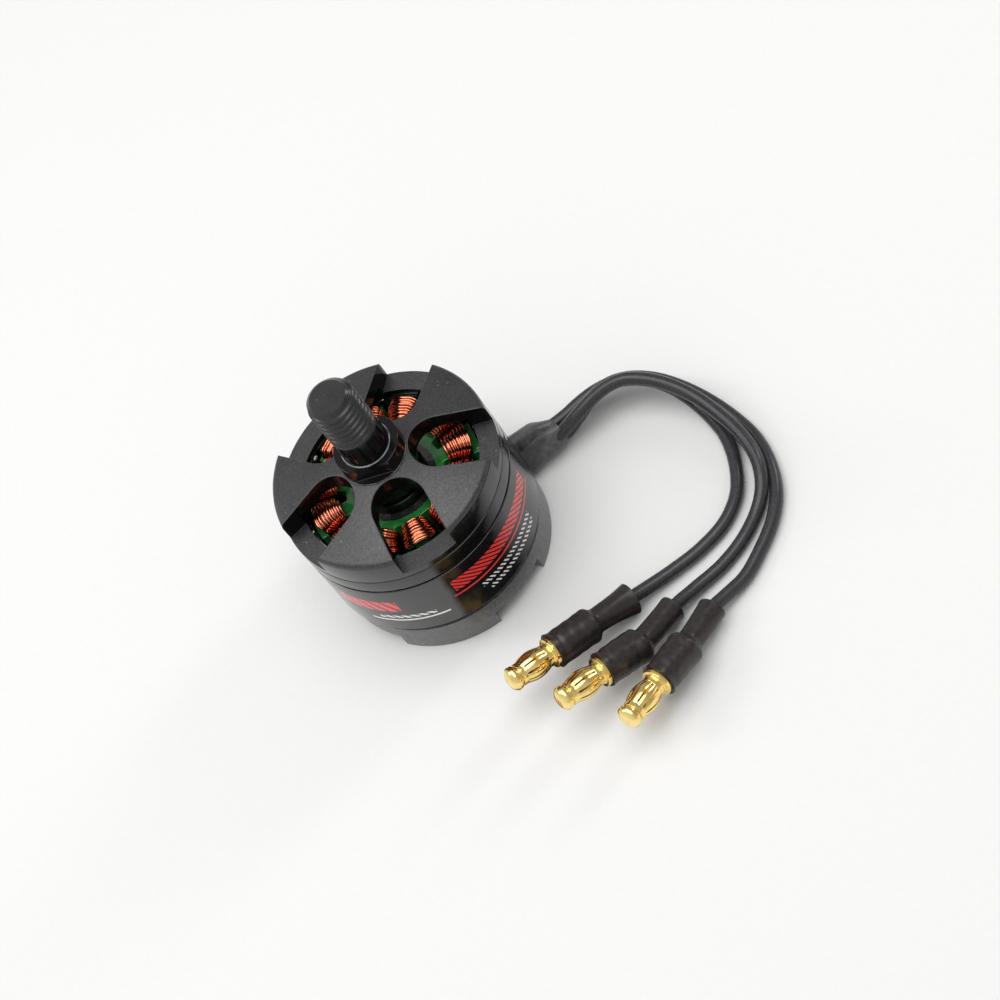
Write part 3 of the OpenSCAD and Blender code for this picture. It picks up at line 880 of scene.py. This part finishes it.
def make_plug_sleeve(letter):
    """Heat-shrink: a lip at the flange, fat over the solder cup, then drawn down on the lead."""
    route = [Vector(p) for p in LEAD_ROUTES[letter]]
    place = plug_matrix(letter)
    front = FLANGE_X[1] + 0.06
    fat_end = front + SLEEVE_LEN
    straight = [place @ Vector((x, 0, 0)) for x in (front, front + 2, front + 4, fat_end)]
    line = smooth_line(straight + [route[-2]], 16)
    travelled = [0.0]
    for first, second in zip(line, line[1:]):
        travelled.append(travelled[-1] + (second - first).length)
    total = travelled[-1]
    rng = random.Random("sleeve " + letter)
    phase = [rng.uniform(0, 6.28) for _ in range(5)]
    rings = []
    for i, centre in enumerate(line):
        s = travelled[i]
        taper = 1 / (1 + exp(-(s - SLEEVE_LEN + 0.1) * 7.0))
        shoulder = hill(s, SLEEVE_LEN - 0.75, 0.6)
        lip = hill(s, 0, 0.25) - 1.1 * hill(s, 0.8, 0.4)
        thin = SLEEVE_NECK_R + (SLEEVE_END_R[letter] - SLEEVE_NECK_R) * (s / total) ** 5
        radius = SLEEVE_R * (1 - taper) + thin * taper + 0.06 * lip + 0.05 * shoulder
        shape = []
        for k in range(PLUG_SIDES):
            turn = tau * k / PLUG_SIDES
            swell = 0.03 * sin(2 * turn + phase[0] + s * 0.5)
            swell += 0.02 * sin(3 * turn + phase[1] - s * 0.7)
            crease = 0.05 * sin(5 * turn + phase[2] + 0.6 * s) * (0.5 * taper + 0.7 * shoulder)
            band = 0.03 * sin(s * 4.1 + phase[3]) * sin(turn + phase[4]) * (1 - taper)
            r = radius + swell + crease + band
            shape.append((r * cos(turn), r * sin(turn)))
        rings.append(section(centre, direction_at(line, i), shape))
    mouths = []
    for i, sunk in ((0, 0.25), (len(line) - 1, -0.25)):
        direction = direction_at(line, i)
        centre = line[i] + direction.normalized() * sunk
        mouths.append(section(centre, direction, circle(0.9, PLUG_SIDES)))
    mesh = skin([mouths[0]] + rings + [mouths[1]])
    return finished(mesh, "shrink_sleeve_" + letter, "plug_sleeve", "stator", ["bullet_sleeve_" + letter])


def make_exit_sleeve():
    """Grey heat-shrink over the three leads, with their ridges and a swelling near its end."""
    centres = [centre for centre, _, _, _ in EXIT_SECTIONS]
    sizes = [(half_w, half_h, radians(turn)) for _, half_w, half_h, turn in EXIT_SECTIONS]
    line = smooth_line(centres, 6)
    unit_circle = circle(1, 64)
    rings = []
    for i, (centre, size) in enumerate(zip(line, smooth_line(sizes, 6))):
        half_w, half_h, heading = size
        t = i / (len(line) - 1)  # 0 at the motor and 1 at the mouth
        direction = Vector((cos(heading), sin(heading), 0))
        shape = []
        for c, s in unit_circle:
            wide, tall = c * half_w, s * half_h
            ridges = 0.10 * cos(wide * tau / LEAD_SPACING - pi) * (1 - t)
            dent = 1.6 * hill(wide, 0.1, 0.3) * hill(t, 0.33, 0.035)
            valley = 0.5 * hill(wide, 0.9 * (t - 0.3) - 0.5, 0.28) * t * (1 - t) * 4
            knuckle = 0.40 * hill(wide, -1.2, 0.6) * t ** 3
            tall += (ridges + knuckle - dent - valley) * max(0, s)
            bulge = 0.14 * hill(t, 0.66, 0.12) * max(0, cos(atan2(s, c) - 0.8))
            scale = 1 + bulge / max(half_w, half_h)
            shape.append((wide * scale, tall * scale))
        slant = direction * 1.2 * t ** 4
        ring = section(centre, direction, shape)
        rings.append([p - slant * max(0, c) ** 2 for (c, _), p in zip(unit_circle, ring)])
    last = rings[-1]
    middle = sum(last, Vector()) / len(last)
    rings.append([middle + (p - middle) * 0.8 - direction * 0.3 for p in last])
    mesh = skin(rings)
    return finished(mesh, "exit_shrink", "exit_sleeve", "stator", ["lead_exit_sleeve"])


# ---- rotor

def cap_surface(radius):
    """Height of the cap's sloping top at a radius."""
    return CAP_TOP - (radius - HUB_R) * (CAP_TOP - CAP_EDGE_Z) / (BELL_R - 0.25 - HUB_R)


def slot_outline():
    """A cooling slot seen from above, pointing along +X, anticlockwise."""
    reach = BELL_R + 1
    side_steps = 12
    outward = [k / side_steps for k in range(1, side_steps + 1)]
    points = [(SLOT_CENTRE_R + x, y) for x, y in arc(SLOT_R, pi / 2, pi * 3 / 2, 40)]
    for side, steps in ((-1, outward), (1, outward[::-1])):
        for t in steps:
            x = SLOT_CENTRE_R + (reach - SLOT_CENTRE_R) * t
            points.append((x, side * (SLOT_R + SLOT_FLARE * t)))
    return points


def slot_cutter():
    """Cuts a slot and rounds the edge that it leaves in the sloping top."""
    outline = slot_outline()
    levels = []
    for k in range(5):
        turn = pi / 2 * k / 4
        levels.append((SLOT_EDGE * (1 - cos(turn)), SLOT_EDGE * (sin(turn) - 1)))
    levels.append((SLOT_EDGE + 0.3, 0.5))
    rings = [[(x, y, SLOT_FLOOR) for x, y in outline]]
    for growth, rise in levels:
        rings.append([(x, y, cap_surface(hypot(x, y)) + rise) for x, y in grown(outline, growth)])
    rings.append([(x, y, CAP_TOP + 3) for x, y in grown(outline, levels[-1][0])])
    return skin(rings)


def make_bell_cap():
    """Domed cap with its cooling slots and the fine groove round its skirt."""
    bore = SPIGOT_R + GAP
    skirt_in = BELL_R - SKIRT_WALL + GAP
    seam_r = BELL_R - SEAM_DEPTH
    hub = [(bore, HUB_BOTTOM, 0.08), (HUB_R, HUB_BOTTOM, 0.1), (HUB_R, CAP_TOP - 2.7, 0.4)]
    inside = [
        (CAP_RIM_R, CAP_EDGE_Z - 1.4, 0.4), (CAP_RIM_R, SPIGOT_TOP, 0.1), (skirt_in, SPIGOT_TOP, 0),
        (skirt_in, SEAM_Z + 0.12, 0.05), (seam_r, SEAM_Z + 0.12, 0.05), (BELL_R, SEAM_Z + 0.3, 0.1),
    ]
    groove = [
        (BELL_R, GROOVE_Z, 0.05), (seam_r, GROOVE_Z + 0.07, 0.03),
        (seam_r, GROOVE_Z + 0.18, 0.03), (BELL_R, GROOVE_Z + 0.25, 0.05),
    ]
    top = [
        (BELL_R, CAP_EDGE_Z - 0.02, 0.7), (HUB_R + 0.4, cap_surface(HUB_R + 0.4), 0),
        (HUB_R, CAP_TOP, 0.1), (bore, CAP_TOP, 0.06),
    ]
    shell = revolved(rounded(hub + inside + groove + top), BELL_SIDES)
    cutters = []
    for i in range(SLOT_COUNT):
        cutters.append(turned_by(slot_cutter(), SLOT_FIRST + tau * i / SLOT_COUNT))
    mesh = combined(shell, cutters, "DIFFERENCE")
    return finished(mesh, "slotted_cap", "cap_anodised", "rotor", ["bell_cap"], 32)


def make_flux_ring():
    """Steel ring whose thin upper end fits inside the cap's skirt."""
    inner = BELL_R - RING_WALL
    spigot = BELL_R - SKIRT_WALL
    corners = [
        (inner, RING_BOTTOM, 0.1), (BELL_R, RING_BOTTOM, 0.18), (BELL_R, SEAM_Z - 0.12, 0.12),
        (spigot, SEAM_Z - 0.12, 0.05), (spigot, SPIGOT_TOP - GAP, 0.05), (inner, SPIGOT_TOP - GAP, 0.05),
    ]
    mesh = revolved(rounded(corners), BELL_SIDES)
    return finished(mesh, "gloss_flux_ring", "ring_black", "rotor", ["flux_ring"])


def make_adhesive():
    """Shiny beads of glue squeezed out at the top of each gap between magnets."""
    rng = random.Random("adhesive")
    beads = []
    for i in range(MAGNET_COUNT):
        long = rng.uniform(0.35, 0.85)
        wide = rng.uniform(0.12, 0.22)
        tall = rng.uniform(0.15, 0.25)
        rings = []
        for k in range(9):
            t = cos(pi * (k + 0.5) / 9)
            ring = circle(sqrt(1 - t * t), 16)
            rings.append([(BEAD_R + wide * c, long * t, BEAD_Z + tall * s) for c, s in ring])
        middle = MAGNET_FIRST + tau * (i + 0.5) / MAGNET_COUNT
        beads.append(turned_by(skin(rings), middle + rng.uniform(-0.06, 0.06)))
    return finished(joined(*beads), "magnet_adhesive", "magnet_nickel", "rotor", [], 60)


def make_thread():
    """The M6 thread as one helical surface, chamfered at the top and fading out at its foot."""
    around, per_turn = 96, 20
    low, high = THREAD_Z - 0.02, MOTOR_H
    rows = int((high - low) / THREAD_PITCH * per_turn)
    top_r = 2.25
    rings = [[(x, y, low) for x, y in circle(AXIS_R, around)]]
    for j in range(rows + 1):
        z = low + (high - low) * j / rows
        ring = []
        for k in range(around):
            turn = tau * k / around
            phase = ((z - low) / THREAD_PITCH - turn / tau) % 1.0  # 0.5 on the crest
            flank = 0.5 - 0.5 * cos(pi * min(1.0, abs(phase - 0.5) * 2.1))
            fade = min(1.0, max(0.0, (z - low - 0.1) / 0.7))
            radius = THREAD_R - THREAD_DEPTH * flank * fade
            radius = min(radius, top_r + MOTOR_H - z)
            ring.append((radius * cos(turn), radius * sin(turn), z))
        rings.append(ring)
    return skin(rings)


def make_prop_adapter():
    """Boss with two wrench flats, plain neck and threaded stud."""
    foot = SPIGOT_R - GAP
    seat = CAP_TOP + 0.02
    corners = [
        (AXIS_R, CAP_TOP - 3, 0), (foot, CAP_TOP - 3, 0), (foot, seat, 0), (HUB_R - 0.04, seat, 0.05),
        (HUB_R - 0.1, BOSS_TOP, 0.14), (NECK_R + 0.12, BOSS_TOP, 0.04), (NECK_R, BOSS_TOP + 0.12, 0.04),
        (NECK_R, THREAD_Z, 0.12), (AXIS_R, THREAD_Z, 0),
    ]
    body = revolved(rounded(corners), 192)
    outline = [(FLAT_DISTANCE, -6), (9, -6), (9, 6), (FLAT_DISTANCE, 6)]
    cutters = []
    for half_turn in (0, pi):
        cutter = slab(outline, CAP_TOP + 0.3, BOSS_TOP + 1, 0.05)
        cutters.append(turned_by(cutter, FLAT_TURN + half_turn))
    mesh = joined(combined(body, cutters, "DIFFERENCE"), make_thread())
    return finished(mesh, "threaded_adapter", "adapter_black", "rotor", ["prop_adapter"])


# ---- stator

def make_mount_base():
    """Ring on four feet, the arms with their screw holes, and the bearing tube."""
    inner, step = BASE_R - 2, BASE_R - 1
    ring = revolved(rounded([
        (inner, FOOT_H - 0.2, 0), (BASE_R, FOOT_H - 0.2, 0), (BASE_R, BASE_H - 0.5, 0.15),
        (step, BASE_H - 0.45, 0.05), (step, BASE_H, 0.1), (inner, BASE_H, 0.15),
    ]), BELL_SIDES)
    tube = revolved(rounded([
        (TUBE_BORE_R, 0.0, 0.1), (TUBE_FOOT_R, 0.0, 0.15), (TUBE_FOOT_R, STACK_Z[0] - GAP, 0.1),
        (TUBE_R, STACK_Z[0], 0.05), (TUBE_R, TUBE_TOP, 0.2), (TUBE_BORE_R, TUBE_TOP, 0.15),
    ]), 128)
    half = pi / 4 - NOTCH / 2
    foot = arc(BASE_R, -half, half, 48) + arc(FOOT_IN_R, half, -half, 36)
    near, far = ARM_X
    arm = [(near, -ARM_HALF), (far, -ARM_HALF), (far, ARM_HALF), (near, ARM_HALF)]
    parts = [tube]
    cutters = [cylinder(SEAT_R, -1, LOWER_SEAT_TOP), cylinder(SEAT_R, UPPER_SEAT_BOTTOM, TUBE_TOP + 2)]
    for quarter, screw_circle_r in enumerate(SCREW_CIRCLES):
        turn = pi / 4 + quarter * pi / 2
        parts.append(turned_by(slab(foot, 0, FOOT_H, 0.12), turn))
        parts.append(turned_by(slab(arm, *ARM_Z, 0.1), turn))
        screw = (screw_circle_r * cos(turn), screw_circle_r * sin(turn))
        cutters.append(cylinder(SCREW_R, -1, 4, screw, 48))
    mesh = combined(combined(ring, parts, "UNION"), cutters, "DIFFERENCE")
    return finished(mesh, "footed_base", "base_anodised", "stator", ["mount_base"], 32)


def core_outline():
    """The lamination's outline: a ring with twelve teeth, each with its shoe."""
    inner_r, outer_r = SHOE_R
    root = asin(TOOTH_HALF / CORE_RING_R)
    under = asin(TOOTH_HALF / inner_r)
    tooth = [(CORE_RING_R, -TOOTH_HALF), (inner_r - 0.1, -TOOTH_HALF)]
    tooth += arc(inner_r, -under, -SHOE_HALF, 3)
    tooth += arc(outer_r, -SHOE_HALF, SHOE_HALF, 10)
    tooth += arc(inner_r, SHOE_HALF, under, 3)
    tooth.append((CORE_RING_R, TOOTH_HALF))
    tooth += arc(CORE_RING_R, root, tau / TOOTH_COUNT - root, 6)[1:-1]
    outline = []
    for i in range(TOOTH_COUNT):
        turn = Matrix.Rotation(TOOTH_FIRST + tau * i / TOOTH_COUNT, 2)
        outline += [tuple(turn @ Vector(point)) for point in tooth]
    return outline


def make_stator_core():
    """The coated stack of laminations, open in the middle for the bearing tube."""
    stack = slab(core_outline(), *STACK_Z, 0.09)
    bore = cylinder(TUBE_R + GAP, 0, MOTOR_H, segments=128)
    mesh = combined(stack, [bore], "DIFFERENCE")
    return finished(mesh, "epoxy_stack", "core_epoxy", "stator", ["stator_core"])


def coil_half(x):
    """Half width of a coil at a distance x from the motor's axis."""
    t = (x - COIL_R[0]) / (COIL_R[1] - COIL_R[0])
    return COIL_HALF[0] + (COIL_HALF[1] - COIL_HALF[0]) * t


def loop_point(x, t, inset):
    """A point at share t of one turn: up one side, over the arched end, down, and back under."""
    # The turns shrink towards the coil's outer end, and its outermost ones lean over the shoe.
    off_middle = 2 * (x - COIL_R[0]) / (COIL_R[1] - COIL_R[0]) - 1
    rounding = max(0, off_middle - 0.45) ** 2
    half = coil_half(x) - inset - 1.1 * rounding
    arch = COIL_ARCH - 0.35 * off_middle ** 2 - 0.9 * rounding
    low, high = COIL_Z[0] + inset + COIL_ARCH, COIL_Z[1] - inset - COIL_ARCH
    straight = high - low
    side = 0.5 * straight / (straight + pi * (half + arch) / 2)
    half_lap, t = divmod(t, 0.5)
    flip = -1 if half_lap else 1
    if t < side:
        return Vector((x, flip * half, (low + high) / 2 + flip * straight * (t / side - 0.5)))
    turn = pi * (t - side) / (0.5 - side)
    lean = COIL_LEAN if flip > 0 else 0.6 * COIL_LEAN
    reach = x + lean * (off_middle + 1) / 2 * min(1, 1.5 * sin(turn))
    end = high if flip > 0 else low
    return Vector((reach, flip * half * cos(turn), end + flip * arch * sin(turn)))


def wound_wire(rng, inset, start_x, end_x):
    """One layer of a coil: a single wire that winds outwards, each turn a little uneven."""
    pitch = 2 * WIRE_R * 1.1
    turns = int((end_x - start_x) / pitch)
    per_turn, sides = 40, 7
    wire = circle(WIRE_R, sides)
    line = []
    lean = [rng.uniform(-0.07, 0.07) for _ in range(turns + 1)]
    lift = [rng.uniform(-0.06, 0.03) for _ in range(turns + 1)]
    for k in range(turns * per_turn + 1):
        turn, t = divmod(k / per_turn, 1.0)
        turn = min(int(turn), turns - 1)
        x = start_x + pitch * k / per_turn + lean[turn] * sin(pi * t)
        bulge = lift[turn] * sin(pi * t) ** 2
        line.append(loop_point(x, t, inset - bulge))
    rings = []
    for i, centre in enumerate(line):
        direction = direction_at(line, i).normalized()
        side = direction.cross(Vector((1, 0, 0))).normalized()
        up = direction.cross(side)
        rings.append([centre + side * s + up * u for s, u in wire])
    return skin(rings)


def coil_filling():
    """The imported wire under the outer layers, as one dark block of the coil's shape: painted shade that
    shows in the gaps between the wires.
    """
    inset = 2.6 * WIRE_R
    start, end = COIL_R[0] + 0.2, COIL_R[1] - 0.7
    rows, around = 6, 48
    rings = []
    for k in range(rows + 1):
        x = start + (end - start) * k / rows
        rings.append([loop_point(x, j / around, inset) for j in range(around)])
    return skin(rings)


def make_winding(phase):
    """The four coils of a phase, each two layers of wire over its dark filling of painted shade."""
    wires, fillings = [], []
    for tooth in PHASE_TEETH[phase]:
        rng = random.Random(f"coil {phase} {tooth}")
        turn = TOOTH_FIRST + tau * tooth / TOOTH_COUNT
        for inset, shift in ((WIRE_R, 0.1), (2.4 * WIRE_R, 0.0)):
            wire = wound_wire(rng, inset, COIL_R[0] + WIRE_R + shift, COIL_R[1] - WIRE_R - shift)
            wires.append(turned_by(wire, turn))
        fillings.append(turned_by(coil_filling(), turn))
    mesh = joined(*wires, *fillings)
    filling_faces = sum(len(filling.polygons) for filling in fillings)
    name = "copper_coils_" + phase
    coils = finished(mesh, name, "winding_copper", "stator", ["winding_phase_" + phase], 60)
    # the filling's faces take the painted shade material
    mesh.materials.append(WIRE_GAP_SHADE.material)
    for face in mesh.polygons[-filling_faces:]:
        face.material_index = 1
    return coils


# ---- CAD nodes that stay, and the floor

def dress_cad_nodes():
    """Every CAD node that is still shown takes its slot's material."""
    slots = {part["node"]: part["material_slot"] for part in frame["record"]["subparts"]}
    for name, node in NODES.items():
        if node.hide_render:
            continue
        node.data.materials.clear()
        node.data.materials.append(MATERIALS[slots[name]].material)
        if name == "rotor_magnets":
            bevel = node.modifiers.new("glued_edge", "BEVEL")
            bevel.width = 0.3 * MM
            bevel.segments = 4
            bevel.limit_method = "ANGLE"


def make_floor():
    """A wide sheet of pale paper under the motor."""
    half = 3000
    corners = [(-half, -half, 0), (half, -half, 0), (half, half, 0), (-half, half, 0)]
    mesh = new_mesh(corners, [range(4)])
    mesh.transform(Matrix.Scale(MM, 4))
    mesh.materials.append(floor_paper().material)
    floor = linked("floor", mesh)


def make_dark_card():
    """A card on the floor that only mirrors see, a painted reflection for the gloss ring: dark, with gold
    patches, and pale at its ends.
    """
    start, end = radians(-128), radians(-48)
    outline = arc(31.0, start, end, 24) + arc(15.5, end, start, 24)
    mesh = new_mesh([(x, y, 0.1) for x, y in outline], [range(len(outline))])
    mesh.transform(Matrix.Scale(MM, 4))
    dark = (0.004, 0.003, 0.003)
    surface = Surface("dark_card", dark, 0.9)
    x, y, _ = surface.axes()
    angle = surface.math("ARCTAN2", y, x)
    radius = surface.radius()
    gold_sector = surface.ramp(angle, radians(-104), radians(-113))
    near_patch = surface.ramp(radius, 20.5 * MM, 18.0 * MM)
    far_patch = surface.ramp(radius, 24.0 * MM, 26.0 * MM)
    mottle = surface.ramp(surface.noise(3.0, 5.0), 0.38, 0.52)
    patches = surface.product(gold_sector, surface.largest(near_patch, far_patch), mottle)
    right_fade = surface.ramp(angle, radians(-80), radians(-55))
    ragged = surface.math("ADD", angle, surface.product(surface.noise(4.0, 3.0), 0.10))
    left_fade = surface.ramp(ragged, radians(-118), radians(-123))
    # painted reflection: a dark sheet with gold patches for the gloss ring to mirror
    colour = surface.blend(patches, dark, (0.40, 0.25, 0.07))
    fade = surface.largest(right_fade, left_fade)
    surface.paint(fade, colour, (0.8, 0.8, 0.795))
    mesh.materials.append(surface.material)
    card = linked("dark_card", mesh)
    card.visible_camera = False
    card.visible_diffuse = False
    card.visible_shadow = False


make_camera()
LEADS = {letter: make_lead(letter) for letter in "abc"}
exit_sleeve = make_exit_sleeve()
for letter, lead in LEADS.items():
    pieces = [make_bullet_pin(letter), make_bullet_spring(letter), make_plug_sleeve(letter)]
    if letter == "c":
        pieces.append(exit_sleeve)

make_bell_cap()
make_flux_ring()
make_adhesive()
make_prop_adapter()
make_mount_base()
make_stator_core()
for phase_letter in "abc":
    make_winding(phase_letter)
dress_cad_nodes()
make_floor()
make_dark_card()
make_light()
